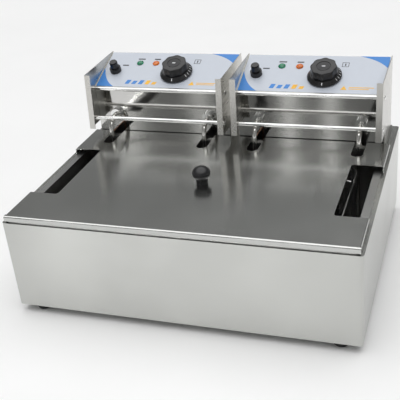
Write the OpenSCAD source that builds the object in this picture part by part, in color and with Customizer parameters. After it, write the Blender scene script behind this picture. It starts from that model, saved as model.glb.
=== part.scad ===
// Counter-top deep fryer: one wide tank, one lid, one basket and two lift-off control heads.
// X runs across the front, Y from the front to the back, Z up. The origin is on the table,
// below the middle of the whole machine. Modules measure Y from the casing's front face.

/* [Body] */
// Width of the casing
body_w = 560; // [450:5:700]
// Depth of the casing
body_d = 450; // [430:5:560]
// Height of the casing above its feet
casing_h = 152.5; // [140:0.5:200]
// Thickness of the stainless sheet
sheet = 1.2; // [0.8:0.1:1.6]
// Outer radius of the casing's upright corners
corner_r = 5; // [3:1:10]
// Width of the casing's turned-in bottom edge
lip_w = 50; // [48:1:70]
// Depth of the deck that carries the heads
deck_l = 102.4; // [95:0.2:120]
// Distance from the deck's side edges to the casing's sides
deck_side = 12; // [8:1:14]

/* [Feet] */
// Height of the rubber feet
foot_h = 14; // [12:1:25]
// Diameter of the rubber feet
foot_d = 24; // [20:1:28]
// Distance from a foot's axis to the casing's side
foot_side = 34; // [20:1:34]
// Distance from a foot's axis to the casing's front and back
foot_front = 20; // [16:1:30]
// Rounding of a foot's bottom edge
foot_round = 4; // [2:0.5:5]
// Diameter of the screws in the feet
foot_screw_d = 5; // [4:0.5:6]

/* [Tank] */
// Distance from the tank's opening to the casing's sides
tank_side = 20; // [18:1:30]
// Distance from the tank's opening to the casing's front
tank_front = 16; // [16:1:24]
// Gap between the casing's turned-in top edge and the tank's walls
rim_gap = 0.4; // [0.2:0.1:3]
// Distance from the tank's opening to the deck
tank_back = 4.6; // [3:0.2:8]
// Depth of the tank below the casing's top
tank_depth = 136.5; // [125:0.5:137]
// Radius of the tank's corners
tank_r = 25; // [10:1:40]
// Width of the tank's rim
tank_rim = 12; // [8:1:12]

/* [Lid] */
// Height of the lid's top above the casing's top
lid_rise = 11; // [8:0.5:16]
// Distance from the lid to the casing's sides
lid_side = 4.5; // [4:0.5:6]
// Distance from the lid to the casing's front
lid_front = 2; // [1:0.5:4]
// Distance from the lid's back edge to the deck
lid_back = 1; // [0.5:0.5:2]
// Height of the lid's front lip
lid_lip_h = 8.5; // [6:0.5:10]
// Rounding of the lid's folded edges
lid_round = 3; // [2:0.5:4]
// Distance from the casing's front to the cut-outs for the basket's handles
notch_front = 86; // [70:1:100]
// Length of the cut-outs along the lid's sides
notch_l = 171; // [165:1:180]
// Depth of the cut-outs from the lid's sides
notch_w = 51.5; // [45:0.5:60]
// Corner radius of the cut-outs
notch_r = 5; // [2:1:8]
// Width of the slots for the elements' legs
slot_w = 20; // [14:1:24]
// Length of the slots for the elements' legs
slot_l = 58.6; // [35:0.2:65]
// Distance from the casing's front to the lid's knob
knob_y = 158; // [120:1:220]
// Diameter of the lid's knob
ball_d = 30; // [24:1:40]
// Height of the lid's knob
ball_h = 30; // [26:1:40]
// Diameter of the knob's neck
neck_d = 19; // [14:1:22]
// Diameter of the knob's screw
knob_screw_d = 5; // [4:0.5:6]
// Clearance between the lid's side folds and the casing
lid_gap = 0.3; // [0.2:0.1:1]

/* [Basket] */
// Distance from the basket's end wires to the tank's ends
basket_side = 32; // [28:1:50]
// Distance from the basket's front wire to the tank's front
basket_front = 16; // [10:1:30]
// Distance from the basket's back wire to the elements' legs
basket_back = 12; // [8:1:20]
// Depth of the basket's rim below the casing's top
basket_drop = 18.5; // [14:0.5:24]
// Height of the basket
basket_h = 86; // [60:1:86]
// Diameter of the basket's frame wire
wire_d = 5; // [4:0.5:6]
// Thickness of the basket's mesh
mesh_t = 1.5; // [1:0.5:2]
// Depth of the mesh's top edge below the rim wire
mesh_drop = 2.2; // [1.8:0.2:4]
// Distance from the end wires to the mesh
mesh_end_gap = 5.8; // [5.4:0.2:8]
// Corner radius of the basket's rim
basket_r = 20; // [12:1:30]
// Distance between the handle and the cut-out's edge
handle_gap = 6; // [4:1:12]
// Length of the handle from its hinge
handle_l = 62; // [45:1:75]
// Diameter of the handle's wire
handle_d = 4; // [3:0.5:5]
// Tilt of the folded handle above level
handle_tilt = 14; // [12:1:15]
// Length of the handle's eyes
eye_l = 6; // [5:1:10]

/* [Heads] */
// Gap between the two heads
head_gap = 14.6; // [10:0.2:30]
// Distance from a head's side to the casing's side
head_side = 14.5; // [4:0.5:30]
// Distance from a head's back to the casing's back
head_back = 3.4; // [1:0.2:10]
// Height of a head above the deck
head_h = 130.5; // [125:0.5:140]
// Distance from the front panel to the deck's front edge
panel_back = 1.5; // [1:0.5:3]
// Slope of the control panel
panel_tilt = 20.3; // [18:0.1:22]
// Distance from the front panel to the lower front corner of a side plate
plate_low_reach = 42.7; // [36:0.1:50]
// Distance from the front panel to the upper front corner of a side plate
plate_top_reach = 34.1; // [30:0.1:40]
// Height of the lower front corner of a side plate above the deck
plate_low_z = 27.3; // [24:0.1:34]
// Drop of the upper front corner of a side plate below the head's top
plate_top_drop = 3.4; // [0:0.1:6]
// Width of a side plate's bent front edge
plate_edge_w = 10.5; // [8:0.5:14]

/* [Rails] */
// Diameter of the rails
rail_d = 7; // [5:0.5:8]
// Distance from the front panel to the lower rail
low_rail_reach = 33; // [29:0.5:36]
// Height of the lower rail above the deck
low_rail_z = 46.5; // [42:0.5:60]
// Distance from the front panel to the upper rail
top_rail_reach = 15; // [10:0.5:18]
// Height of the upper rail above the deck
top_rail_z = 96; // [80:0.5:98]
// Diameter of the rails' screws
rail_screw_d = 4; // [3:0.5:4]
// Diameter of the rails' screw heads
rail_screw_head_d = 8; // [6:0.5:9]

/* [Controls] */
// Distance from the head's middle to the thermostat's axis
dial_x = 20.5; // [0:0.5:40]
// Distance up the panel to the thermostat's axis
dial_u = 43; // [34:0.5:60]
// Diameter of the dial's skirt
skirt_d = 60; // [50:1:64]
// Diameter of the dial's grip
grip_d = 46; // [36:1:48]
// Height of the dial
dial_h = 22; // [18:1:26]
// Diameter of the thermostat's spindle
spindle_d = 6; // [4:0.5:8]
// Distance from the head's middle to the reset button's axis
reset_x = -101.5; // [-105:0.5:-95]
// Distance up the panel to the reset button's axis
reset_u = 45; // [30:0.5:70]
// Diameter of the reset button's cap
reset_d = 15; // [10:0.5:16]
// Diameter of the reset button's nut
reset_nut_d = 21; // [18:0.5:24]
// Height of the reset button's cap above the panel
reset_h = 22; // [16:0.5:24]
// Travel of the reset button
reset_travel = 3; // [1:0.5:4]
// Distance from the head's middle to the green lamp
green_x = -60; // [-70:0.5:-50]
// Distance from the head's middle to the orange lamp
orange_x = -28; // [-35:0.5:-24]
// Distance up the panel to the lamps
lamp_u = 69; // [60:0.5:85]
// Diameter of the lamps' lenses
lamp_d = 13; // [8:0.5:16]
// Thickness of the printed overlay
overlay_t = 0.4; // [0.2:0.1:0.8]

/* [Elements] */
// Diameter of the element's tube
tube_d = 8; // [6:0.5:9]
// Distance from the head's side to the element's leg
leg_inset = 39.1; // [34:0.1:60]
// Distance from the front panel to the element's legs
leg_reach = 35; // [18:0.5:40]
// Height of the legs' nuts above the deck
leg_z = 43.5; // [40:0.5:60]
// Radius of the element's bends
tube_bend = 14; // [12:1:16]
// Gap between the tank's floor and the element
element_gap = 8; // [6:0.5:9]
// Distance from the tank's front to the element's front bends
element_front = 20; // [12:1:40]
// Distance from the legs to the element's back bend
element_back = 10; // [8:1:30]
// Diameter of the legs' nuts
leg_nut_d = 20; // [16:0.5:24]
// Thickness of the legs' nuts
leg_nut_t = 8; // [5:0.5:10]
// Diameter of the sensor's capillary
capillary_d = 2; // [1.5:0.5:3]

/* [Back] */
// Distance from the head's middle to the cable gland
gland_x = 80; // [50:1:90]
// Height of the cable gland above the deck
gland_z = 30; // [24:1:60]
// Distance that the cable gland stands out of the back
gland_out = 15; // [12:1:22]
// Bore of the cable gland
gland_bore = 9; // [7:0.5:11]
// Width across the cable gland's nut
gland_d = 24; // [20:1:28]
// Length of the vent slots
vent_l = 30; // [15:1:40]
// Width of the vent slots
vent_w = 4; // [2:0.5:5]
// Number of vent slots in a row
vent_n = 9; // [3:1:10]
// Diameter of the back cover's screws
cover_screw_d = 4; // [3:0.5:5]

/* [Fits] */
// Radial clearance of turning and sliding fits
fit = 0.05; // [0.02:0.01:0.1]
// Clearance between fixed pieces
gap = 0.2; // [0.1:0.1:0.5]
// Clearance between a fastener and its hole
hole_gap = 0.3; // [0.2:0.1:0.6]

/* [Hidden] */
$fn = 48;
e = 0.5;                                            // how far a cutting shape runs past a face

total_d = max(body_d, body_d - head_back + gland_out);
top_z = foot_h + casing_h;                          // the casing's top face
deck_y = body_d - deck_l;                           // the deck's front edge
deck_z = top_z + 2 * sheet;                         // the deck's top face

tank_w = body_w - 2 * tank_side;
tank_l = deck_y - tank_back - tank_front;
tank_floor_z = top_z - tank_depth;                  // the upper face of the tank's floor
rim_w = min(tank_side, tank_front) - sheet - rim_gap;   // the casing's turned-in top edge

lid_w = body_w - 2 * lid_side;
lid_z = top_z + lid_rise;                           // the lid's top face
lid_back_y = deck_y - lid_back;

head_w = (body_w - head_gap) / 2 - head_side;
head_x = (head_gap + head_w) / 2;                   // a head's middle
panel_y = deck_y + panel_back;                      // the front panel's face
head_y = body_d - head_back;                        // a head's back face
head_top = deck_z + head_h;
inside_w = head_w - 2 * sheet - 2 * gap;            // of the panels between the side plates
slope_l = (head_y - panel_y) / cos(panel_tilt);     // of the control panel
slope_z = head_top - (head_y - panel_y) * tan(panel_tilt);  // the control panel's front edge

leg_x = head_w / 2 - leg_inset;
leg_y = panel_y - leg_reach;
leg_top = deck_z + leg_z;
elbow_r = leg_reach - leg_nut_t;                    // of the bend from the nut down into the leg
element_z = tank_floor_z + element_gap + tube_d / 2;
turn_r = leg_x / 3;                                 // of the element's flat turns
front_turn_y = tank_front + element_front + turn_r + tube_d / 2;
back_turn_y = leg_y - element_back - turn_r;

basket_w = tank_w - 2 * basket_side;
basket_y0 = tank_front + basket_front;
basket_y1 = leg_y - basket_back;
basket_z = top_z - basket_drop;                     // the rim wire's middle
basket_floor = basket_z - basket_h;
hoop_z = basket_floor - wire_d / 2;
handle_y0 = notch_front + handle_gap;
handle_y1 = notch_front + notch_l - handle_gap;
eye_d = wire_d + 2 * fit + 4;                       // outer diameter of the handle's eyes

// ---------- shared shapes ----------

module from_front() translate([0, -total_d / 2, 0]) children();

module on_head(side) from_front() translate([side * head_x, 0, 0]) children();

// A point on the control panel: u runs up the slope, and Z is the panel's normal.
module on_panel(x, u) {
    translate([x, panel_y, slope_z]) rotate([panel_tilt, 0, 0]) translate([0, u, 0]) children();
}

// A rectangle with round corners, its middle at the origin.
module round_rect(w, l, r) {
    square([w - 2 * r, l], center = true);
    square([w, l - 2 * r], center = true);
    for (x = [-1, 1], y = [-1, 1]) translate([x * (w / 2 - r), y * (l / 2 - r)]) circle(r);
}

// A rectangular outline from y0 to y1, with its bottom at z.
module slab(w, y0, y1, r, z, h) {
    translate([0, (y0 + y1) / 2, z]) linear_extrude(h) round_rect(w, y1 - y0, r);
}

// A part of a ring of round wire in the XY plane, from the +X axis towards +Y.
module bend(r, d, angle = 90) rotate_extrude(angle = angle) translate([r, 0]) circle(d = d);

// A straight wire between two points.
module bar(a, b, d) {
    v = b - a;
    translate(a) rotate([0, acos(v.z / norm(v)), atan2(v.y, v.x)]) cylinder(d = d, h = norm(v));
}

// A closed ring of wire with round corners.
module wire_ring(w, l, r, d) {
    for (s = [-1, 1]) {
        bar([s * w / 2, r - l / 2, 0], [s * w / 2, l / 2 - r, 0], d);
        bar([r - w / 2, s * l / 2, 0], [w / 2 - r, s * l / 2, 0], d);
    }
    for (a = [0 : 90 : 270]) rotate(a) {
        across = a % 180 == 0 ? w : l;
        along = a % 180 == 0 ? l : w;
        translate([across / 2 - r, along / 2 - r, 0]) bend(r, d);
    }
}

// A domed screw along +Z with its head above Z = 0.
module dome_screw(d, l, head_d, head_h) {
    translate([0, 0, -l]) cylinder(d = d, h = l + head_h / 2);
    intersection() {
        cylinder(d = head_d, h = head_h);
        translate([0, 0, head_h - head_d * 0.65]) sphere(d = head_d * 1.3);
    }
}

// ---------- body ----------

module outer_casing() {
    inner_w = body_w - 2 * sheet;
    color("gainsboro") from_front() difference() {
        slab(body_w, 0, body_d, corner_r, foot_h, casing_h);
        slab(inner_w, sheet, body_d - sheet, corner_r - sheet, foot_h + sheet,
            casing_h - 2 * sheet);
        slab(body_w - 2 * rim_w, rim_w, body_d - rim_w, corner_r, top_z - 2 * sheet, 3 * sheet);
        slab(body_w - 2 * lip_w, lip_w, body_d - lip_w, corner_r, foot_h - sheet, 3 * sheet);
        foot_places() translate([0, 0, foot_h - e])
            cylinder(d = foot_screw_d, h = sheet + 2 * e);
    }
}

module foot_places() {
    for (x = [-1, 1], y = [foot_front, body_d - foot_front])
        translate([x * (body_w / 2 - foot_side), y, 0]) children();
}

module base_plate() {
    edge = sheet + hole_gap;
    color("darkgray") from_front() difference() {
        slab(body_w - 2 * edge, edge, body_d - edge, corner_r, foot_h + sheet, sheet);
        foot_places() translate([0, 0, foot_h]) cylinder(d = foot_screw_d, h = 3 * sheet);
    }
}

module tank() {
    middle = tank_front + tank_l / 2;
    outer_r = tank_r + sheet;
    color("silver") from_front() difference() {
        union() {
            slab(tank_w + 2 * sheet, tank_front - sheet, deck_y - tank_back + sheet, outer_r,
                tank_floor_z - sheet, tank_depth + 2 * sheet);
            slab(tank_w + 2 * tank_rim, tank_front - tank_rim, deck_y + tank_rim, corner_r,
                top_z, sheet);
        }
        translate([0, middle, tank_floor_z]) linear_extrude(tank_depth + 3 * sheet)
            round_rect(tank_w, tank_l, tank_r);
        slab(tank_w + 2 * tank_rim + 2 * e, 0, body_d, corner_r, top_z + sheet, 2 * sheet);
    }
}

module rear_deck() {
    deck_w = body_w - 2 * deck_side;
    color("gainsboro") from_front() {
        translate([-deck_w / 2, deck_y, deck_z - sheet])
            cube([deck_w, deck_l - sheet, sheet]);
        for (s = [-1, 1]) translate([s * (deck_w - sheet) / 2 - sheet / 2, deck_y + tank_rim + gap,
            top_z]) cube([sheet, deck_l - tank_rim - gap - sheet, sheet]);
    }
}

module feet() {
    recess_d = foot_d / 2;
    collar_d = recess_d + 4;
    color("#202020") from_front() foot_places() difference() {
        union() {
            rotate_extrude() {
                square([foot_d / 2 - foot_round, foot_h - gap]);
                translate([0, foot_round]) square([foot_d / 2, foot_h - gap - foot_round]);
                translate([foot_d / 2 - foot_round, foot_round]) circle(foot_round);
            }
            cylinder(d = collar_d, h = foot_h);
        }
        translate([0, 0, -e]) cylinder(d = foot_screw_d + 2 * hole_gap, h = foot_h + 2 * e);
        translate([0, 0, -e]) cylinder(d = recess_d, h = foot_h / 2 + e);
    }
}

module foot_screws() {
    head_t = 3;
    head_d = foot_d / 2 - 2;
    color("silver") from_front() foot_places() {
        translate([0, 0, foot_h / 2 - head_t]) cylinder(d = head_d, h = head_t);
        translate([0, 0, foot_h / 2]) cylinder(d = foot_screw_d, h = foot_h / 2 + 3 * sheet);
    }
}

// ---------- lid ----------

// The bent edge of a sheet: level on top, then down over h. The bend's outside faces -X.
module folded_edge(h) {
    difference() {
        union() {
            translate([lid_round, -lid_round]) circle(lid_round);
            translate([lid_round, -sheet]) square([lid_round + e, sheet]);
            translate([0, -h]) square([sheet, h - lid_round]);
        }
        translate([lid_round, -lid_round]) circle(lid_round - sheet);
        translate([lid_round, -2 * lid_round - e]) square([lid_round + 2 * e, 2 * lid_round + e - sheet]);
        translate([sheet, -2 * lid_round - e]) square([lid_round + e, lid_round + e]);
    }
}

module lid() {
    skirt_h = lid_rise - lid_gap;
    color("silver") from_front() difference() {
        union() {
            translate([lid_round - lid_w / 2, lid_front + lid_round, lid_z - sheet])
                cube([lid_w - 2 * lid_round, lid_back_y - lid_front - lid_round, sheet]);
            for (s = [0, 1]) mirror([s, 0, 0])
                translate([-lid_w / 2, lid_back_y, lid_z]) rotate([90, 0, 0])
                    linear_extrude(lid_back_y - lid_front - lid_round) folded_edge(skirt_h);
            translate([-lid_w / 2, lid_front, lid_z]) rotate([90, 0, 90])
                linear_extrude(lid_w) folded_edge(lid_lip_h);
        }
        for (s = [0, 1]) mirror([s, 0, 0]) notch();
        for (s = [-1, 1], leg = [-1, 1]) translate([s * head_x + leg * leg_x, 0, 0]) leg_slot();
        translate([0, knob_y, top_z]) cylinder(d = knob_screw_d + 2 * hole_gap, h = 2 * lid_rise);
    }
}

module notch() {
    reach = notch_w + 2 * notch_r;
    translate([lid_w / 2 - notch_w + reach / 2, notch_front + notch_l / 2, top_z - e])
        linear_extrude(2 * lid_rise) round_rect(reach, notch_l, notch_r);
}

module leg_slot() {
    bottom = lid_back_y - slot_l + slot_w / 2;
    translate([0, bottom, top_z]) cylinder(d = slot_w, h = 2 * lid_rise);
    translate([-slot_w / 2, bottom, top_z]) cube([slot_w, slot_l, 2 * lid_rise]);
}

module lid_knob() {
    ball_t = 0.8 * ball_d;                          // the ball is a little flattened
    middle = ball_h - ball_t / 2;
    color("#202020") from_front() translate([0, knob_y, lid_z]) difference() {
        union() {
            cylinder(d = neck_d, h = middle);
            translate([0, 0, middle]) rotate_extrude() flat_ball(ball_d, ball_t);
        }
        translate([0, 0, -e]) cylinder(d = knob_screw_d + 2 * gap, h = middle + e);
    }
}

// Half the outline of a flattened ball: two wide arcs that run into a small round edge.
module flat_ball(d, t) {
    edge_r = 0.3 * d;
    edge_x = d / 2 - edge_r;
    arc_r = (edge_x * edge_x + t * t / 4 - edge_r * edge_r) / (t - 2 * edge_r);
    join_x = edge_x * arc_r / (arc_r - edge_r);
    intersection() {
        translate([0, t / 2 - arc_r]) circle(arc_r);
        translate([0, arc_r - t / 2]) circle(arc_r);
        translate([0, -t / 2]) square([join_x, t]);
    }
    intersection() {
        translate([edge_x, 0]) circle(edge_r);
        translate([0, -edge_r]) square([d / 2 + e, 2 * edge_r]);
    }
}

module lid_knob_screw() {
    head_t = 2.5;
    color("silver") from_front() translate([0, knob_y, lid_z - sheet]) {
        translate([0, 0, -head_t]) cylinder(d = 2 * knob_screw_d, h = head_t);
        cylinder(d = knob_screw_d, h = ball_h / 2);
    }
}

// ---------- basket ----------

module basket_frame() {
    l = basket_y1 - basket_y0;
    feet_y = [basket_y0 + l / 4, basket_y0 + 3 * l / 4];
    foot_z = tank_floor_z + gap + wire_d / 2;
    foot_w = 24;
    color("silver") from_front() {
        translate([0, (basket_y0 + basket_y1) / 2, basket_z])
            wire_ring(basket_w, l, basket_r, wire_d);
        for (x = [-head_x, head_x]) {
            translate([x, 0, 0]) {
                hoop();
                for (y = feet_y) {
                    for (s = [-1, 1]) bar([0, y + s * foot_w / 2, foot_z],
                        [0, y + s * foot_w / 2, hoop_z], wire_d);
                    bar([0, y - foot_w / 2 - wire_d / 2, foot_z],
                        [0, y + foot_w / 2 + wire_d / 2, foot_z], wire_d);
                }
            }
        }
    }
}

// A wire that runs down the front, under the mesh and up the back.
module hoop() {
    r = wire_d;
    for (side = [0, 1]) {
        y = side == 0 ? basket_y0 : basket_y1;
        bar([0, y, hoop_z + r], [0, y, basket_z], wire_d);
        translate([0, side == 0 ? y + r : y - r, hoop_z + r])
            rotate([0, 90, 0]) rotate(side == 0 ? -90 : 0) bend(r, wire_d);
    }
    bar([0, basket_y0 + r, hoop_z], [0, basket_y1 - r, hoop_z], wire_d);
}

module basket_mesh() {
    w = basket_w - 2 * mesh_end_gap;
    edge = wire_d / 2 + gap / 2;
    top = basket_z - mesh_drop;
    r = basket_r - edge;
    color("lightgray") from_front() difference() {
        slab(w, basket_y0 + edge, basket_y1 - edge, r, basket_floor + gap / 2,
            top - basket_floor - gap / 2);
        slab(w - 2 * mesh_t, basket_y0 + edge + mesh_t, basket_y1 - edge - mesh_t, r - mesh_t,
            basket_floor + gap / 2 + mesh_t, basket_h);
    }
}

// A bail that turns on the basket's end wire and lies folded inwards under the lid.
module basket_handle(side) {
    r = 3 * handle_d;
    span = handle_y1 - handle_y0;
    color("silver") from_front() translate([side * basket_w / 2, handle_y0, basket_z])
        mirror([side > 0 ? 1 : 0, 0, 0]) rotate([0, -handle_tilt, 0]) {
            for (y = [0, span]) {
                translate([0, y - eye_l / 2, 0]) rotate([-90, 0, 0]) difference() {
                    cylinder(d = eye_d, h = eye_l);
                    translate([0, 0, -e]) cylinder(d = wire_d + 2 * fit, h = eye_l + 2 * e);
                }
                difference() {
                    bar([wire_d / 2 + 1, y, 0], [handle_l - r, y, 0], handle_d);
                    translate([0, y - handle_d, 0]) rotate([-90, 0, 0])
                        cylinder(d = wire_d + 2 * fit, h = 2 * handle_d);
                }
            }
            translate([handle_l - r, r, 0]) rotate(-90) bend(r, handle_d);
            translate([handle_l - r, span - r, 0]) bend(r, handle_d);
            bar([handle_l, r, 0], [handle_l, span - r, 0], handle_d);
        }
}

// ---------- heads: shells ----------

// A side plate's outline in Y and Z.
function plate_points() = [
    [panel_y + 2 * sheet, deck_z],
    [head_y, deck_z],
    [head_y, head_top],
    [panel_y - plate_top_reach, head_top - plate_top_drop],
    [panel_y - plate_low_reach, deck_z + plate_low_z],
    [panel_y + 2 * sheet, deck_z + plate_low_z]];

// A side plate with its outer face at X = 0 and its bent front edge towards +X.
module plate() {
    low = [panel_y - plate_low_reach, deck_z + plate_low_z];
    top = [panel_y - plate_top_reach, head_top - plate_top_drop];
    lean = atan2(top.x - low.x, top.y - low.y);
    edge_l = norm(top - low);
    difference() {
        union() {
            rotate([90, 0, 90]) linear_extrude(sheet) polygon(plate_points());
            translate([0, low.x, low.y]) rotate([-lean, 0, 0]) cube([plate_edge_w, sheet, edge_l]);
        }
        rail_places() translate([0, 0, -e]) cylinder(d = rail_screw_d + hole_gap, h = sheet + 2 * e);
    }
}

// Both rails' axes, along +X from X = 0.
module rail_places() {
    translate([0, panel_y - low_rail_reach, deck_z + low_rail_z]) rotate([0, 90, 0]) children();
    translate([0, panel_y - top_rail_reach, deck_z + top_rail_z]) rotate([0, 90, 0]) children();
}

module side_plate(side, hand) {
    color("gainsboro") on_head(side) mirror([hand > 0 ? 1 : 0, 0, 0])
        translate([-head_w / 2, 0, 0]) plate();
}

module control_panel(side) {
    color("gainsboro") on_head(side) difference() {
        on_panel(-inside_w / 2, 0) translate([0, 0, -sheet - overlay_t])
            cube([inside_w, slope_l - 2 * sheet, sheet]);
        panel_holes();
    }
}

module panel_holes() {
    deep = sheet + overlay_t + 2 * e;
    on_panel(dial_x, dial_u) translate([0, 0, e - deep]) cylinder(d = boss_d() + 2 * hole_gap, h = deep);
    on_panel(reset_x, reset_u) translate([0, 0, e - deep]) cylinder(d = bush_d() + 2 * hole_gap, h = deep);
    for (x = [green_x, orange_x]) on_panel(x, lamp_u) translate([0, 0, e - deep])
        cylinder(d = lamp_body_d() + 2 * hole_gap, h = deep);
}

function boss_d() = spindle_d + 4;                  // of the thermostat's boss
function bush_d() = reset_d - 3;                    // of the cut-out's bush
function lamp_body_d() = lamp_d - 2;

module front_panel(side) {
    top = slope_z - overlay_t - 2 * sheet;
    color("gainsboro") on_head(side) difference() {
        union() {
            translate([-inside_w / 2, panel_y, deck_z]) cube([inside_w, sheet, top - deck_z]);
            translate([-inside_w / 2, panel_y, deck_z])
                cube([inside_w, head_y - panel_y - 2 * sheet - gap, sheet]);
        }
        for (s = [-1, 1]) translate([s * leg_x, panel_y - e, leg_top]) rotate([-90, 0, 0])
            cylinder(d = tube_d + 2 * hole_gap, h = sheet + 2 * e);
        translate([bulb_line()[0].x, panel_y - e, bulb_line()[0].z]) rotate([-90, 0, 0])
            cylinder(d = 2 * capillary_d, h = sheet + 2 * e);
    }
}

module back_cover(side) {
    h = head_h - 2 * sheet - overlay_t;
    z0 = deck_z + gap;
    rows = [0.45, 0.75];                            // the vents' heights, as shares of the head's
    pitch = 4 * vent_w;
    color("gainsboro") on_head(side) difference() {
        translate([-inside_w / 2, head_y - sheet, z0]) cube([inside_w, sheet, h]);
        translate([gland_x, head_y - sheet - e, deck_z + gland_z]) rotate([-90, 0, 0])
            cylinder(d = thread_d() + 2 * gap, h = sheet + 2 * e);
        cover_screw_places() translate([0, 0, -sheet - e])
            cylinder(d = cover_screw_d + hole_gap, h = sheet + 2 * e);
        for (i = [0 : vent_n - 1], row = rows)
            translate([(i - (vent_n - 1) / 2) * pitch - vent_w / 2 - head_w / 8,
                head_y - sheet - e, deck_z + head_h * row - vent_l / 2])
                cube([vent_w, sheet + 2 * e, vent_l]);
    }
}

function thread_d() = gland_bore + 6;               // of the cable gland's body

// The cover screws' axes, along +Y, on the cover's outer face.
module cover_screw_places() {
    inset = 10;
    for (x = [-1, 1], z = [deck_z + inset, head_top - inset - 3 * sheet])
        translate([x * (inside_w / 2 - inset), head_y, z]) rotate([-90, 0, 0]) children();
}

module cover_screws(side) {
    color("silver") on_head(side) cover_screw_places()
        dome_screw(cover_screw_d, 6 * sheet, 2 * cover_screw_d, cover_screw_d / 2);
}

module panel_overlay(side) {
    margin = 1.5;
    color("lightsteelblue") on_head(side) difference() {
        on_panel(margin - inside_w / 2, margin) translate([0, 0, -overlay_t])
            cube([inside_w - 2 * margin, slope_l - 2 * sheet - 2 * margin, overlay_t]);
        panel_holes();
    }
}

// ---------- heads: rails ----------

module rail(side, index) {
    rail_l = head_w - 2 * sheet;
    color("silver") on_head(side) translate([-rail_l / 2, 0, 0]) difference() {
        one_rail_place(index) cylinder(d = rail_d, h = rail_l);
        one_rail_place(index) translate([0, 0, -e])
            cylinder(d = rail_screw_d + gap, h = screw_deep() + e);
        one_rail_place(index) translate([0, 0, rail_l - screw_deep()])
            cylinder(d = rail_screw_d + gap, h = screw_deep() + e);
    }
}

module one_rail_place(index) {
    reach = index == 0 ? low_rail_reach : top_rail_reach;
    z = index == 0 ? low_rail_z : top_rail_z;
    translate([0, panel_y - reach, deck_z + z]) rotate([0, 90, 0]) children();
}

function screw_deep() = 12;                         // of the screw's hole in a rail

module rail_screws(side) {
    shank = screw_deep() - 2;
    color("silver") on_head(side) for (hand = [0, 1]) mirror([hand, 0, 0])
        translate([head_w / 2, 0, 0]) rail_places()
            dome_screw(rail_screw_d, shank, rail_screw_head_d, rail_screw_head_d / 3);
}

// ---------- heads: controls ----------

module thermostat_knob(side) {
    lift = 2;                                       // of the skirt above the overlay
    rim_h = 2;
    skirt_h = 7;
    ledge = 1.5;                                    // of the skirt's top round the grip
    lobes = 8;
    lobe_r = 7;
    grip_z = lift + skirt_h - e;
    grip_h = dial_h - skirt_h + e;
    color("#202020") on_head(side) on_panel(dial_x, dial_u) difference() {
        union() {
            translate([0, 0, lift]) cylinder(d = skirt_d, h = rim_h);
            translate([0, 0, lift + rim_h])
                cylinder(d1 = skirt_d, d2 = grip_d + 2 * ledge, h = skirt_h - rim_h);
            translate([0, 0, grip_z]) cylinder(d = 0.9 * grip_d, h = grip_h);
            for (i = [0 : lobes - 1]) rotate(i * 360 / lobes)
                translate([grip_d / 2 - lobe_r, 0, grip_z]) cylinder(r = lobe_r, h = grip_h);
        }
        translate([0, 0, lift - e]) cylinder(d = spindle_d + 2 * fit, h = spindle_out() + e);
    }
}

module thermostat_spindle(side) {
    color("silver") on_head(side) on_panel(dial_x, dial_u) translate([0, 0, -spindle_deep()])
        cylinder(d = spindle_d, h = spindle_deep() + spindle_out());
}

function spindle_deep() = 20;                       // of the spindle below the overlay's face
function spindle_out() = dial_h - 6;                // of the spindle above it

module thermostat(side) {
    w = 38;
    h = 30;
    boss_out = 1;
    top = overlay_t + sheet;
    color("tan") on_head(side) on_panel(dial_x, dial_u) difference() {
        union() {
            translate([-w / 2, -w / 2, -top - h]) cube([w, w, h]);
            translate([0, 0, -top - e]) cylinder(d = boss_d(), h = top + e + boss_out);
        }
        translate([0, 0, -spindle_deep() - 1])
            cylinder(d = spindle_d + 2 * fit, h = spindle_deep() + 1 + boss_out + e);
    }
}

// The capillary's corners, from inside the head to the bulb beside the element.
function bulb_line() = [
    [-leg_x - 2, panel_y + 10, leg_top - elbow_r],
    [-leg_x - 2, leg_y + tube_d / 2 + capillary_d, leg_top - elbow_r],
    [-leg_x - 2, leg_y + tube_d / 2 + capillary_d, top_z - 15],
    [tube_d - leg_x, leg_y + tube_d / 2 + capillary_d, top_z - 50],
    [tube_d - leg_x, leg_y + tube_d / 2 + capillary_d, element_z + tube_bend],
    [tube_d - leg_x, leg_y - tube_bend, element_z]];

module sensor_bulb(side) {
    bulb_d = 6;
    bulb_l = 90;
    line = bulb_line();
    color("peru") on_head(side) {
        for (i = [1 : len(line) - 1]) bar(line[i - 1], line[i], capillary_d);
        for (i = [1 : len(line) - 1]) translate(line[i]) sphere(d = 1.1 * capillary_d);
        bar(line[len(line) - 1] - [0, bulb_l, 0], line[len(line) - 1], bulb_d);
    }
}

module reset_button(side) {
    step = 2;                                       // the cap's top edge, a step in and a step high
    cap_z = reset_travel + nut_floor();
    color("#202020") on_head(side) on_panel(reset_x, reset_u) {
        translate([0, 0, cap_z]) cylinder(d = reset_d - step, h = reset_h - cap_z);
        translate([0, 0, cap_z]) cylinder(d = reset_d, h = reset_h - cap_z - step);
        translate([0, 0, -stem_deep()]) cylinder(d = stem_d(), h = stem_deep() + cap_z);
    }
}

function stem_d() = reset_d / 3;                    // of the button's stem
function stem_deep() = 12;                          // of the stem below the overlay's face
function nut_floor() = 1;                           // thickness of the nut's floor

module reset_nut(side) {
    nut_h = 8;
    color("#202020") on_head(side) on_panel(reset_x, reset_u) difference() {
        cylinder(d = reset_nut_d, h = nut_h);
        translate([0, 0, nut_floor()]) cylinder(d = reset_d + 2 * hole_gap, h = nut_h);
        translate([0, 0, -e]) cylinder(d = bush_d() + 2 * gap, h = nut_h);
    }
}

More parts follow.
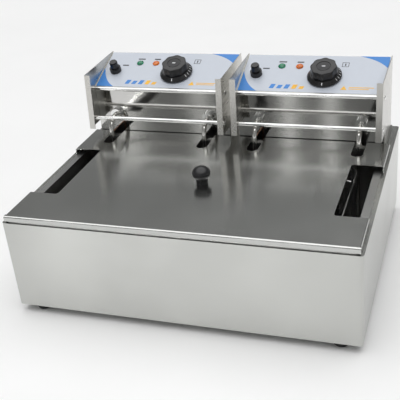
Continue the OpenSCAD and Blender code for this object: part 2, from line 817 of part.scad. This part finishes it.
module safety_cutout(side) {
    d = 26;
    h = 32;
    bush_out = 0.8;
    top = overlay_t + sheet;
    color("dimgray") on_head(side) on_panel(reset_x, reset_u) difference() {
        union() {
            translate([0, 0, -top - h]) cylinder(d = d, h = h);
            translate([0, 0, -top - e]) cylinder(d = bush_d(), h = top + e + bush_out);
        }
        translate([0, 0, -stem_deep() - reset_travel - 1])
            cylinder(d = stem_d() + 2 * fit, h = stem_deep() + reset_travel + 1 + bush_out + e);
    }
}

module lamp(side, x, colour) {
    dome_h = lamp_d / 4;
    rim_h = 1;
    body_l = 18;
    color(colour) on_head(side) on_panel(x, lamp_u) {
        dome_r = (pow(lamp_d / 2, 2) + pow(dome_h, 2)) / (2 * dome_h);
        intersection() {
            cylinder(d = lamp_d, h = dome_h + rim_h);
            translate([0, 0, dome_h + rim_h - dome_r]) sphere(dome_r);
        }
        translate([0, 0, -body_l]) cylinder(d = lamp_body_d(), h = body_l + e);
    }
}

// ---------- heads: element and wiring ----------

module heating_element(side) {
    $fn = 36;
    color("#9a9a9a") on_head(side) {
        for (s = [0, 1]) mirror([s, 0, 0]) element_half();
        translate([0, back_turn_y, element_z]) bend(turn_r, tube_d, 180);
    }
}

// From the terminal inside the head down the leg, forward, round and back.
module element_half() {
    inside = 24;                                    // of the tube behind the front panel
    pin_l = 12;
    pin_d = 3;
    bar([-leg_x, leg_y + elbow_r, leg_top], [-leg_x, panel_y + inside, leg_top], tube_d);
    bar([-leg_x, panel_y + inside, leg_top], [-leg_x, panel_y + inside + pin_l, leg_top], pin_d);
    translate([-leg_x, leg_y + elbow_r, leg_top - elbow_r])
        rotate([0, 90, 0]) rotate(180) bend(elbow_r, tube_d);
    bar([-leg_x, leg_y, element_z + tube_bend], [-leg_x, leg_y, leg_top - elbow_r], tube_d);
    translate([-leg_x, leg_y - tube_bend, element_z + tube_bend]) rotate([0, 90, 0]) bend(tube_bend, tube_d);
    bar([-leg_x, front_turn_y, element_z], [-leg_x, leg_y - tube_bend, element_z], tube_d);
    translate([-2 * turn_r, front_turn_y, element_z]) rotate(180) bend(turn_r, tube_d, 180);
    bar([-turn_r, front_turn_y, element_z], [-turn_r, back_turn_y, element_z], tube_d);
}

module element_nuts(side) {
    color("silver") on_head(side) for (s = [-1, 1])
        translate([s * leg_x, panel_y - leg_nut_t, leg_top]) rotate([-90, 0, 0]) difference() {
            cylinder(d = leg_nut_d, h = leg_nut_t);
            translate([0, 0, -e]) cylinder(d = tube_d + gap, h = leg_nut_t + 2 * e);
        }
}

module terminal_block(side) {
    w = 70;
    l = 22;
    h = 18;
    hole_d = 5;
    pitch = 12.7;
    place = [-40, head_y - 50, deck_z + sheet];
    color("beige") on_head(side) translate(place) difference() {
        translate([-w / 2, -l / 2, 0]) cube([w, l, h]);
        for (i = [-2 : 2]) translate([i * pitch, -l / 2 - e, h / 2]) rotate([-90, 0, 0])
            cylinder(d = hole_d, h = l + 2 * e);
    }
}

module cable_gland(side) {
    inside = 12;                                    // of the thread behind the cover
    nut_t = 4;
    cap_t = 2;
    color("#202020") on_head(side) translate([gland_x, head_y, deck_z + gland_z])
        rotate([-90, 0, 0]) difference() {
            union() {
                translate([0, 0, -inside]) cylinder(d = thread_d(), h = inside + e);
                cylinder(d = gland_d, h = nut_t, $fn = 6);
                translate([0, 0, nut_t - e])
                    cylinder(d = gland_d * 0.82, h = gland_out - nut_t - cap_t + e);
                translate([0, 0, gland_out - cap_t - e]) cylinder(d = gland_d * 0.66, h = cap_t + e);
                translate([0, 0, -sheet - nut_t]) cylinder(d = gland_d, h = nut_t, $fn = 6);
            }
            translate([0, 0, -inside - e]) cylinder(d = gland_bore, h = inside + gland_out + 2 * e);
        }
}

// ---------- the nodes ----------

LEFT = -1;
RIGHT = 1;

outer_casing();
base_plate();
tank();
rear_deck();
feet();
foot_screws();
lid();
lid_knob();
lid_knob_screw();
basket_frame();
basket_mesh();
basket_handle(LEFT);  // left_basket_handle
basket_handle(RIGHT);  // right_basket_handle
side_plate(LEFT, LEFT);  // left_outer_side_plate
side_plate(LEFT, RIGHT);  // left_inner_side_plate
control_panel(LEFT);  // left_control_panel
front_panel(LEFT);  // left_front_panel
back_cover(LEFT);  // left_back_cover
cover_screws(LEFT);  // left_cover_screws
panel_overlay(LEFT);  // left_panel_overlay
rail(LEFT, 1);  // left_upper_rail
rail(LEFT, 0);  // left_lower_rail
rail_screws(LEFT);  // left_rail_screws
thermostat_knob(LEFT);  // left_thermostat_knob
thermostat_spindle(LEFT);  // left_thermostat_spindle
thermostat(LEFT);  // left_thermostat
sensor_bulb(LEFT);  // left_sensor_bulb
reset_button(LEFT);  // left_reset_button
reset_nut(LEFT);  // left_reset_nut
safety_cutout(LEFT);  // left_safety_cutout
lamp(LEFT, green_x, "seagreen");  // left_green_lamp
lamp(LEFT, orange_x, "darkorange");  // left_orange_lamp
heating_element(LEFT);  // left_heating_element
element_nuts(LEFT);  // left_element_nuts
terminal_block(LEFT);  // left_terminal_block
cable_gland(LEFT);  // left_cable_gland
side_plate(RIGHT, RIGHT);  // right_outer_side_plate
side_plate(RIGHT, LEFT);  // right_inner_side_plate
control_panel(RIGHT);  // right_control_panel
front_panel(RIGHT);  // right_front_panel
back_cover(RIGHT);  // right_back_cover
cover_screws(RIGHT);  // right_cover_screws
panel_overlay(RIGHT);  // right_panel_overlay
rail(RIGHT, 1);  // right_upper_rail
rail(RIGHT, 0);  // right_lower_rail
rail_screws(RIGHT);  // right_rail_screws
thermostat_knob(RIGHT);  // right_thermostat_knob
thermostat_spindle(RIGHT);  // right_thermostat_spindle
thermostat(RIGHT);  // right_thermostat
sensor_bulb(RIGHT);  // right_sensor_bulb
reset_button(RIGHT);  // right_reset_button
reset_nut(RIGHT);  // right_reset_nut
safety_cutout(RIGHT);  // right_safety_cutout
lamp(RIGHT, green_x, "seagreen");  // right_green_lamp
lamp(RIGHT, orange_x, "darkorange");  // right_orange_lamp
heating_element(RIGHT);  // right_heating_element
element_nuts(RIGHT);  // right_element_nuts
terminal_block(RIGHT);  // right_terminal_block
cable_gland(RIGHT);  // right_cable_gland
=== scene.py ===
"""Looks of a counter-top deep fryer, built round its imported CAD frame. Units are metres."""

import math

import bmesh
import bpy
from mathutils import Matrix, Vector

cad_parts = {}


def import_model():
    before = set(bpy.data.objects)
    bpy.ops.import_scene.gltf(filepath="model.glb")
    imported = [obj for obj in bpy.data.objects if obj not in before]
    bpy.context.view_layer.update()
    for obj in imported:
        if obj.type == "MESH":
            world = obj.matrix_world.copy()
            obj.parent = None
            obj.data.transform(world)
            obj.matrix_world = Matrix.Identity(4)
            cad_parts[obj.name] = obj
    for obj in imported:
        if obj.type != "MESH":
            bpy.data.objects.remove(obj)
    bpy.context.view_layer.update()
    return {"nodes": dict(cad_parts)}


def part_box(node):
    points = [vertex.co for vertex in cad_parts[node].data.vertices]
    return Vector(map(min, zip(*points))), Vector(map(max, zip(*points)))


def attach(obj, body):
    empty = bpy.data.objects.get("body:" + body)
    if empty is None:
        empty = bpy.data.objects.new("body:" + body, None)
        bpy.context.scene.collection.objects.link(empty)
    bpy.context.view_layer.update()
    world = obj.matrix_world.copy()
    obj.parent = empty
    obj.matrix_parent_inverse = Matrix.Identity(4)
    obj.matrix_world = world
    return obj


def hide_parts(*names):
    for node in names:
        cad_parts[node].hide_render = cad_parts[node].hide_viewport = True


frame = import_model()

MM = 0.001
SIDES = (("left", -1), ("right", 1))
CAD = frame["nodes"]


# ---------- node materials ----------

class Shader:
    """A Principled material and a few node helpers."""

    def __init__(self, name, colour, rough, metal=0.0, **uniform):
        self.mat = bpy.data.materials.new(name)
        self.mat.use_nodes = True
        self.tree = self.mat.node_tree
        self.bsdf = self.tree.nodes["Principled BSDF"]
        self.put("Base Color", (*colour, 1))
        self.put("Roughness", rough)
        self.put("Metallic", metal)
        for socket, value in uniform.items():
            self.put(socket.replace("_", " "), value)

    def put(self, socket, value):
        self.bsdf.inputs[socket].default_value = value

    def node(self, kind, **settings):
        n = self.tree.nodes.new("ShaderNode" + kind)
        for key, value in settings.items():
            if key in n.inputs:
                n.inputs[key].default_value = value
            else:
                setattr(n, key, value)
        return n

    def link(self, a, b):
        self.tree.links.new(a, b)

    def noise(self, scale, stretch=(1, 1, 1), detail=4.0, rough=0.55):
        """Noise in object coordinates, stretched: a low number is a long streak along that axis."""
        place = self.node("TexCoord")
        mapping = self.node("Mapping", Scale=stretch)
        tex = self.node("TexNoise", Scale=scale, Detail=detail, Roughness=rough)
        self.link(place.outputs["Object"], mapping.inputs["Vector"])
        self.link(mapping.outputs["Vector"], tex.inputs["Vector"])
        return tex.outputs["Fac"]

    def spread(self, source, low, high, at=(0.3, 0.7)):
        """Maps a noise from its usual range to low..high."""
        m = self.node("MapRange")
        m.inputs["From Min"].default_value, m.inputs["From Max"].default_value = at
        m.inputs["To Min"].default_value, m.inputs["To Max"].default_value = low, high
        self.link(source, m.inputs["Value"])
        return m.outputs["Result"]

    def blend(self, source, a, b, at=(0.35, 0.65)):
        """Blends two colours by a noise."""
        ramp = self.node("ValToRGB")
        for stop, position, colour in zip(ramp.color_ramp.elements, at, (a, b)):
            stop.position = position
            stop.color = (*colour, 1)
        self.link(source, ramp.inputs["Fac"])
        return ramp.outputs["Color"]

    def bump(self, source, strength, distance=MM, onto=None):
        b = self.node("Bump", Strength=strength, Distance=distance)
        self.link(source, b.inputs["Height"])
        if onto is not None:
            self.link(onto, b.inputs["Normal"])
        self.link(b.outputs["Normal"], self.bsdf.inputs["Normal"])
        return b.outputs["Normal"]

    def tangent(self, axis):
        t = self.node("CombineXYZ", X=axis[0], Y=axis[1], Z=axis[2])
        self.link(t.outputs["Vector"], self.bsdf.inputs["Tangent"])


def scaled(colour, k):
    return tuple(min(1.0, c * k) for c in colour)


def steel(name, colour, rough, grain=(1, 1, 1), grain_scale=900, aniso=0.0, along=None,
          wave=0.0, wave_scale=5, brush=0.05, vary=0.03):
    """Sheet steel: fine grain in one direction, soft patches, and a slow wave of the sheet."""
    s = Shader(name, colour, rough, metal=1.0)
    lines = s.noise(grain_scale, grain, detail=3)
    patches = s.noise(7, detail=5)
    s.link(s.blend(patches, scaled(colour, 1 - vary), scaled(colour, 1 + vary)),
           s.bsdf.inputs["Base Color"])
    mixed = s.node("Math", operation="MULTIPLY_ADD")
    s.link(lines, mixed.inputs[0])
    mixed.inputs[1].default_value = 0.7
    s.link(patches, mixed.inputs[2])
    s.link(s.spread(mixed.outputs[0], rough * 0.8, rough * 1.2, (0.6, 1.1)),
           s.bsdf.inputs["Roughness"])
    normal = None
    if wave:
        normal = s.bump(s.noise(wave_scale, detail=1), 1.0, wave)
    s.bump(lines, brush, 0.2 * MM, normal)
    if aniso:
        s.put("Anisotropic", aniso)
        s.tangent(along)
    return s.mat


def plastic(name, colour, rough, grain=1500, depth=0.08, vary=0.25, **uniform):
    s = Shader(name, colour, rough, **uniform)
    fine = s.noise(grain, detail=2)
    dust = s.noise(40, detail=6)
    s.link(s.blend(dust, colour, scaled(colour, 1 + vary)), s.bsdf.inputs["Base Color"])
    s.link(s.spread(dust, rough * 0.85, rough * 1.2), s.bsdf.inputs["Roughness"])
    s.bump(fine, depth, 0.1 * MM)
    return s.mat


def lens(name, colour):
    s = Shader(name, colour, 0.12, IOR=1.5, Coat_Weight=0.6)
    facets_and_painted_glints = s.node("TexVoronoi", Scale=450, feature="F1")
    place = s.node("TexCoord")
    s.link(place.outputs["Object"], facets_and_painted_glints.inputs["Vector"])
    # Colour darker in each facet's middle and lighter towards its edge: painted facet shade and painted
    # glints. The bump below is the facets' own relief.
    s.link(s.blend(facets_and_painted_glints.outputs["Distance"], scaled(colour, 0.45), scaled(colour, 1.8), (0.2, 0.8)),
           s.bsdf.inputs["Base Color"])
    s.bump(facets_and_painted_glints.outputs["Distance"], 0.5, MM)
    return s.mat


FRONT_SPREAD = (0, 0, 1)                            # brushed along X: highlights run up and down
TOP_SPREAD = (0, 1, 0)
GRAIN_X = (0.02, 1, 1)                              # long streaks of grain along X
GRAIN_Y = (1, 0.02, 1)

M = {
    "casing": steel("casing_steel", (0.54, 0.545, 0.525), 0.20, GRAIN_X, aniso=0.97,
                    along=FRONT_SPREAD, brush=0.008, wave=0.1 * MM, wave_scale=6, vary=0.02),
    "deck": steel("deck_steel", (0.56, 0.56, 0.54), 0.22, GRAIN_X, aniso=0.7, along=TOP_SPREAD,
                  brush=0.02),
    "lid": steel("lid_steel", (0.56, 0.565, 0.55), 0.15, GRAIN_X, aniso=0.85, along=TOP_SPREAD,
                 brush=0.004, vary=0.015),
    "panel": steel("panel_steel", (0.60, 0.595, 0.58), 0.09, GRAIN_X, aniso=0.4,
                   along=FRONT_SPREAD, brush=0.004, wave=0.12 * MM, wave_scale=8),
    "side": steel("side_steel", (0.62, 0.61, 0.58), 0.30, GRAIN_Y, aniso=0.6, along=FRONT_SPREAD),
    "edge": steel("edge_steel", (0.66, 0.65, 0.63), 0.22, (1, 1, 0.05), wave=0.2 * MM,
                  wave_scale=30),
    "tank": steel("tank_steel", (0.45, 0.45, 0.44), 0.35, GRAIN_X),
    "chrome": steel("chrome_plate", (0.80, 0.80, 0.79), 0.07, wave=0.03 * MM, wave_scale=40),
    "wire": steel("basket_wire", (0.62, 0.62, 0.60), 0.22),
    "element": steel("element_tube", (0.72, 0.71, 0.68), 0.14, wave=0.05 * MM, wave_scale=40),
    "copper": steel("copper_tube", (0.72, 0.42, 0.28), 0.3),
    "rubber": plastic("foot_rubber", (0.012, 0.012, 0.012), 0.6),
    "black": plastic("black_plastic", (0.010, 0.010, 0.011), 0.28),
    "nylon": plastic("black_nylon", (0.012, 0.012, 0.014), 0.42),
    "brown": plastic("moulded_insulator", (0.36, 0.30, 0.22), 0.5),
    "print": plastic("overlay_print", (0.56, 0.60, 0.67), 0.32, depth=0.03, vary=0.03),
    "blue": plastic("print_blue", (0.032, 0.22, 0.62), 0.32, depth=0.03, vary=0.05),
    "amber": plastic("print_amber", (0.85, 0.45, 0.03), 0.35, depth=0.03),
    "ink": plastic("print_ink", (0.02, 0.02, 0.025), 0.4, depth=0.03),
    "white": plastic("dial_marks", (0.75, 0.76, 0.78), 0.4, depth=0.03),
    "green": lens("green_lens", (0.005, 0.17, 0.08)),
    "orange": lens("orange_lens", (0.70, 0.13, 0.008)),
}


def paint(node, material):
    CAD[node].data.materials.clear()
    CAD[node].data.materials.append(material)


def paint_cad():
    paint("outer_casing", M["casing"])
    paint("lid", M["lid"])
    paint("rear_deck", M["deck"])
    paint("base_plate", M["tank"])
    paint("tank", M["tank"])
    paint("feet", M["rubber"])
    for n in ("foot_screws", "lid_knob_screw"):
        paint(n, M["chrome"])
    paint("lid_knob", M["black"])
    for n in ("basket_frame", "basket_mesh", "left_basket_handle", "right_basket_handle"):
        paint(n, M["wire"])
    for side, _ in SIDES:
        looks = {
            "outer_side_plate": "side", "inner_side_plate": "side", "control_panel": "deck",
            "front_panel": "panel", "back_cover": "casing", "cover_screws": "chrome",
            "panel_overlay": "print", "upper_rail": "chrome", "lower_rail": "chrome",
            "rail_screws": "chrome", "thermostat_knob": "black", "thermostat_spindle": "chrome",
            "thermostat": "brown", "sensor_bulb": "copper", "reset_button": "black",
            "reset_nut": "nylon", "safety_cutout": "nylon", "green_lamp": "green",
            "orange_lamp": "orange", "heating_element": "element", "element_nuts": "chrome",
            "terminal_block": "brown", "cable_gland": "nylon"}
        for part, look in looks.items():
            paint(f"{side}_{part}", M[look])


paint_cad()


# ---------- new pieces ----------

def piece(name, verts, faces, look, body, finish, smooth=None, stands_for=()):
    """A closed mesh piece that rides a CAD body."""
    mesh = bpy.data.meshes.new(name)
    mesh.from_pydata([tuple(v) for v in verts], [], faces)
    bm = bmesh.new()
    bm.from_mesh(mesh)
    bmesh.ops.recalc_face_normals(bm, faces=bm.faces)
    bm.to_mesh(mesh)
    bm.free()
    if smooth is not None:
        mesh.polygons.foreach_set("use_smooth", [True] * len(mesh.polygons))
        mesh.set_sharp_from_angle(angle=math.radians(smooth))
    mesh.materials.append(M[look])
    o = bpy.data.objects.new(name, mesh)
    bpy.context.scene.collection.objects.link(o)
    if stands_for:
        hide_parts(*stands_for)
    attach(o, body)
    return o


class Panel:
    """The control panel's printed face: x from its middle, u up the slope, w out of it, in mm."""

    def __init__(self, side):
        low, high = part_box(f"{side}_panel_overlay")
        thick = 0.4 * MM
        tilt = math.atan2(high.z - low.z, high.y - low.y)
        for _ in range(3):
            tilt = math.atan2(high.z - low.z - thick * math.cos(tilt),
                              high.y - low.y - thick * math.sin(tilt))
        self.normal = Vector((0, -math.sin(tilt), math.cos(tilt)))
        self.up = Vector((0, math.cos(tilt), math.sin(tilt)))
        self.start = Vector(((low.x + high.x) / 2, low.y, low.z + thick * math.cos(tilt)))
        self.half = (high.x - low.x) / 2 / MM
        self.height = (high.y - low.y - thick * math.sin(tilt)) / math.cos(tilt) / MM

    def at(self, x, u, w=0.0):
        return self.start + Vector((x, 0, 0)) * MM + self.up * (u * MM) + self.normal * (w * MM)


def prism(points, place, low=-0.1, high=0.15):
    """A flat outline raised off a surface: its vertices and faces."""
    n = len(points)
    verts = [place(x, u, w) for w in (low, high) for x, u in points]
    faces = [tuple(reversed(range(n))), tuple(range(n, 2 * n))]
    faces += [(i, (i + 1) % n, n + (i + 1) % n, n + i) for i in range(n)]
    return verts, faces


def joined(parts):
    verts, faces = [], []
    for v, f in parts:
        faces += [tuple(i + len(verts) for i in face) for face in f]
        verts += v
    return verts, faces


def curve(a, c, b, n=14):
    """Points from a to b, drawn towards c."""
    return [tuple((1 - t) ** 2 * p + 2 * t * (1 - t) * q + t * t * r for p, q, r in zip(a, c, b))
            for t in (i / n for i in range(n + 1))]


def rect(x0, u0, x1, u1, lean=0.0):
    return [(x0, u0), (x1, u0), (x1 + lean, u1), (x0 + lean, u1)]


BLUE_LOW = (34, 52)                                 # how far the lower corner runs along x and u
BLUE_TOP = (52, 32)
BULGE = 0.45                                        # of the white field towards the blue corners


def printing(side):
    """The overlay's colours: two blue corners, label bars, a plain mark, a badge and a caution sign."""
    p = Panel(side)
    w, h = p.half, p.height
    a, b = BLUE_LOW
    low = [(-w, 0)] + curve((-w + a, 0), (-w + a * (1 - BULGE) * 0.6, b * (1 - BULGE) * 0.5), (-w, b))
    a, b = BLUE_TOP
    top = [(w, h)] + curve((w - a, h), (w - a * (1 - BULGE) * 0.6, h - b * (1 - BULGE) * 0.5),
                           (w, h - b))
    mark = [rect(-72 + 13 * i, 8, -64 + 13 * i, 19 - 2 * (i % 2), 3) for i in range(3)]
    flash = [rect(-33, 8, -25, 19, 3), rect(-20, 8, -12, 15, 2)]
    labels = [rect(-67, 78, -53, 81), rect(-34, 78, -22, 81), rect(-93, 59, -81, 62)]
    bx, bu, r, t = 52, 75, 6, 0.9
    badge = [rect(bx - r, bu - r, bx + r, bu - r + t), rect(bx - r, bu + r - t, bx + r, bu + r),
             rect(bx - r, bu - r + t, bx - r + t, bu + r - t),
             rect(bx + r - t, bu - r + t, bx + r, bu + r - t), rect(bx - 1, bu - 3, bx + 1, bu + 3)]
    caution = [[(52, 9), (63, 9), (57.5, 19)], rect(66, 14.5, 108, 16.2), rect(66, 10.5, 100, 12.2)]
    for name, shapes, look in (("blue_corners", [low, top], "blue"), ("mark", mark, "blue"),
                               ("mark_flash", flash, "amber"), ("labels", labels + badge, "ink"),
                               ("caution", caution, "amber")):
        piece(f"{side}_{name}", *joined([prism(s, p.at) for s in shapes]), look,
              f"{side}_head", "overlay_print")


LOBES = 8
RING = 96                                           # points round the dial


def dial(side):
    """The thermostat's dial: a conical skirt and a lobed grip with rounded edges and a hollowed top."""
    p = Panel(side)
    low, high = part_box(f"{side}_thermostat_spindle")
    centre = (low + high) / 2 - p.start
    x, u = centre.x / MM, centre.dot(p.up) / MM

    def at(px, pu, w):
        return p.at(x + px, u + pu, w)

    # radius, lobe depth, height of each ring, from the skirt's underside to the grip's hollow
    rings = [(3.2, 0, 2), (29.8, 0, 2), (30, 0, 2.4), (30, 0, 3.8), (29.6, 0, 4.2), (24.6, 0, 9),
             (22.2, 0.8, 9), (22.2, 0.8, 22.8), (21.9, 0.8, 23.4), (21.3, 0.8, 23.85),
             (20.5, 0.7, 24), (12.6, 0, 24), (12.0, 0, 23.2), (3.2, 0, 23.2)]
    verts, faces = [], []
    for r, lobe, w in rings:
        for i in range(RING):
            a = 2 * math.pi * i / RING
            rr = r + lobe * math.cos(LOBES * a)
            verts.append(at(rr * math.cos(a), rr * math.sin(a), w))
    n = len(rings)
    for k in range(n):
        for i in range(RING):
            j = (i + 1) % RING
            m = (k + 1) % n
            faces.append((k * RING + i, k * RING + j, m * RING + j, m * RING + i))
    piece(f"{side}_dial", verts, faces, "black", f"{side}_dial", "black_plastic", 35,
          (f"{side}_thermostat_knob",))
    cap = [(11.4 * math.cos(2 * math.pi * i / 48), 11.4 * math.sin(2 * math.pi * i / 48))
           for i in range(48)]
    piece(f"{side}_dial_cap", *prism(cap, at, 23.0, 23.7), "nylon", f"{side}_dial",
          "black_plastic", 35)
    marks = [prism(rect(-3, -1, 3, 1), at, 23.6, 23.85)]
    for degrees in (-90, -32, -18, -4, 10, 24):
        a = math.radians(degrees)
        half = 0.7 if degrees == -90 else 0.4

        def tick(r, s, w, a=a):
            slope = 9.0 - (r - 24.6) * (9 - 4.2) / (29.6 - 24.6)
            return at(r * math.cos(a) - s * math.sin(a), r * math.sin(a) + s * math.cos(a), slope + w)
        marks.append(prism(rect(25.6, -half, 28.8, half), tick, -0.2, 0.15))
    piece(f"{side}_dial_marks", *joined(marks), "white", f"{side}_dial", "overlay_print")


PITCH = 8.0 * MM                                    # of the basket's woven wires
WIRE = 0.55 * MM                                    # their radius
WEAVE = 0.5 * MM                                    # how far they swing at a crossing


def wire(path, radius=WIRE):
    """A four-sided wire along a path that stays in one upright plane or one level plane."""
    verts, faces = [], []
    n = len(path)
    for i, point in enumerate(path):
        run = (path[min(i + 1, n - 1)] - path[max(i - 1, 0)]).normalized()
        side = run.orthogonal().normalized() if i == 0 else (side - run * side.dot(run)).normalized()
        other = run.cross(side)
        verts += [point + side * radius, point + other * radius,
                  point - side * radius, point - other * radius]
    for i in range(n - 1):
        for k in range(4):
            a, b = 4 * i + k, 4 * i + (k + 1) % 4
            faces.append((a, b, b + 4, a + 4))
    faces += [(3, 2, 1, 0), tuple(4 * (n - 1) + k for k in range(4))]
    return verts, faces


def steps(a, b):
    n = max(2, round((b - a) / PITCH))
    return [a + (b - a) * i / n for i in range(n + 1)]


def basket():
    """The basket's tray as woven wire: wires that run down one wall, across and up the other."""
    low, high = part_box("basket_mesh")
    inset = WIRE + WEAVE
    low, high = low + Vector((inset,) * 3), high - Vector((inset,) * 3)
    xs, ys, zs = (steps(low[k], high[k]) for k in range(3))
    edge = 2                                        # wires left out at the rounded corners
    parts = []
    for across, along, lo, hi, spots in ((0, 1, low.y, high.y, xs), (1, 0, low.x, high.x, ys)):
        line = ys if along == 1 else xs
        for k, c in enumerate(spots[edge:-edge]):
            path = []
            for j, z in enumerate(reversed(zs)):
                path.append((lo + WEAVE * (1 if (j + k) % 2 else -1), z))
            for j, v in enumerate(line[1:-1]):
                path.append((v, low.z + WEAVE * (1 if (j + k + across) % 2 else -1)))
            for j, z in enumerate(zs):
                path.append((hi + WEAVE * (1 if (j + k) % 2 else -1), z))
            points = [Vector((c, v, z)) if along == 1 else Vector((v, c, z)) for v, z in path]
            parts.append(wire(points))
    r = edge * PITCH
    for z in zs[1:]:
        for (ax, ay), (bx, by) in (((low.x + r, low.y), (high.x - r, low.y)),
                                   ((high.x, low.y + r), (high.x, high.y - r)),
                                   ((high.x - r, high.y), (low.x + r, high.y)),
                                   ((low.x, high.y - r), (low.x, low.y + r))):
            parts.append(wire([Vector((ax, ay, z)), Vector((bx, by, z))]))
        for (cx, cy), (sx, sy) in (((low.x, low.y), (1, 1)), ((high.x, low.y), (-1, 1)),
                                   ((high.x, high.y), (-1, -1)), ((low.x, high.y), (1, -1))):
            arc = curve((cx + sx * r, cy), (cx, cy), (cx, cy + sy * r), 5)
            parts.append(wire([Vector((x, y, z)) for x, y in arc]))
    piece("woven_basket", *joined(parts), "wire", "basket", "chrome_steel", None, ("basket_mesh",))


for side_name, _ in SIDES:
    printing(side_name)
    dial(side_name)
basket()


# ---------- room, light and camera ----------

def room():
    mat = Shader("floor_paper", (0.93, 0.93, 0.93), 0.6)
    mat.link(mat.blend(mat.noise(3), (0.92, 0.92, 0.92), (0.94, 0.94, 0.94)),
             mat.bsdf.inputs["Base Color"])
    mesh = bpy.data.meshes.new("floor")
    bm = bmesh.new()
    bmesh.ops.create_grid(bm, x_segments=1, y_segments=1, size=60)
    bm.to_mesh(mesh)
    bm.free()
    floor = bpy.data.objects.new("floor", mesh)
    floor.data.materials.append(mat.mat)
    bpy.context.scene.collection.objects.link(floor)


def world():
    """A dark grey studio, a little lighter low down behind the object."""
    w = bpy.data.worlds.new("studio")
    bpy.context.scene.world = w
    w.use_nodes = True
    t = w.node_tree
    bg = t.nodes["Background"]
    place = t.nodes.new("ShaderNodeTexCoord")
    split = t.nodes.new("ShaderNodeSeparateXYZ")
    ramp = t.nodes.new("ShaderNodeValToRGB")
    t.links.new(place.outputs["Generated"], split.inputs[0])
    t.links.new(split.outputs["Z"], ramp.inputs["Fac"])
    t.links.new(ramp.outputs["Color"], bg.inputs["Color"])
    stops = ramp.color_ramp.elements
    stops[0].position, stops[0].color = 0.0, (0.55, 0.55, 0.55, 1)
    stops[1].position, stops[1].color = 0.9, (0.30, 0.30, 0.30, 1)
    for position, grey in ((0.12, 0.34), (0.3, 0.20), (0.65, 0.25)):
        stops.new(position).color = (grey, grey * 1.01, grey, 1)
    bg.inputs["Strength"].default_value = 1.0


def area(name, place, target, size, power, colour=(1, 1, 1)):
    light = bpy.data.lights.new(name, "AREA")
    light.shape = "RECTANGLE"
    light.size, light.size_y = size
    light.energy = power
    light.color = colour
    o = bpy.data.objects.new(name, light)
    o.location = place
    o.rotation_euler = (Vector(target) - Vector(place)).to_track_quat("-Z", "Y").to_euler()
    bpy.context.scene.collection.objects.link(o)
    return o


# x, y and width of the upright strips before the object, and their power
STRIPS = ((-1.76, -3.10, 0.10, 1.5), (-1.30, -3.26, 0.07, 0.9), (-0.735, -3.41, 0.06, 1.1),
          (-0.47, -3.46, 0.05, 0.9), (0.30, -3.45, 0.06, 0.7))
# the same for the strips that only the casing sees
CASING_STRIPS = ((-1.72, -3.10, 0.06, 13), (-1.50, -3.20, 0.04, 6), (-1.24, -3.28, 0.06, 12),
                 (-0.70, -3.41, 0.06, 9), (-0.45, -3.46, 0.04, 6), (-0.20, -3.46, 0.03, 4))
STRIP_H = 3.0


def lights():
    sun = bpy.data.lights.new("overhead", "SUN")
    sun.energy = 2.35
    sun.angle = math.radians(88)
    o = bpy.data.objects.new("overhead", sun)
    bpy.context.scene.collection.objects.link(o)
    for i, (x, y, width, power) in enumerate(STRIPS):
        area(f"strip_{i}", (x, y, STRIP_H / 2), (0, 0, STRIP_H / 2), (width, STRIP_H), power)
    seen_by = bpy.data.collections.new("casing_only")
    seen_by.objects.link(CAD["outer_casing"])
    for i, (x, y, width, power) in enumerate(CASING_STRIPS):
        o = area(f"casing_strip_{i}", (x, y, STRIP_H / 2), (0, 0, STRIP_H / 2),
                 (width, STRIP_H), power)
        o.light_linking.receiver_collection = seen_by


CAMERA = {"place": (0.40103, -1.14417, 0.74640), "azimuth": 20.34, "elevation": 28.35,
          "roll": -5.42, "lens": 71.48, "shift": (-0.01735, 0.0228)}


def camera():
    az, el, roll = (math.radians(CAMERA[k]) for k in ("azimuth", "elevation", "roll"))
    back = Vector((math.sin(az) * math.cos(el), -math.cos(az) * math.cos(el), math.sin(el)))
    right = Vector((math.cos(az), math.sin(az), 0))
    up = back.cross(right)
    r = right * math.cos(roll) + up * math.sin(roll)
    u = up * math.cos(roll) - right * math.sin(roll)
    cam = bpy.data.objects.new("camera", bpy.data.cameras.new("camera"))
    cam.matrix_world = Matrix.Translation(CAMERA["place"]) @ Matrix((r, u, back)).transposed().to_4x4()
    cam.data.sensor_width = 36
    cam.data.lens = CAMERA["lens"]
    cam.data.shift_x, cam.data.shift_y = CAMERA["shift"]
    bpy.context.scene.collection.objects.link(cam)
    bpy.context.scene.camera = cam


bpy.context.scene.view_settings.view_transform = "Standard"
room()
world()
lights()
camera()
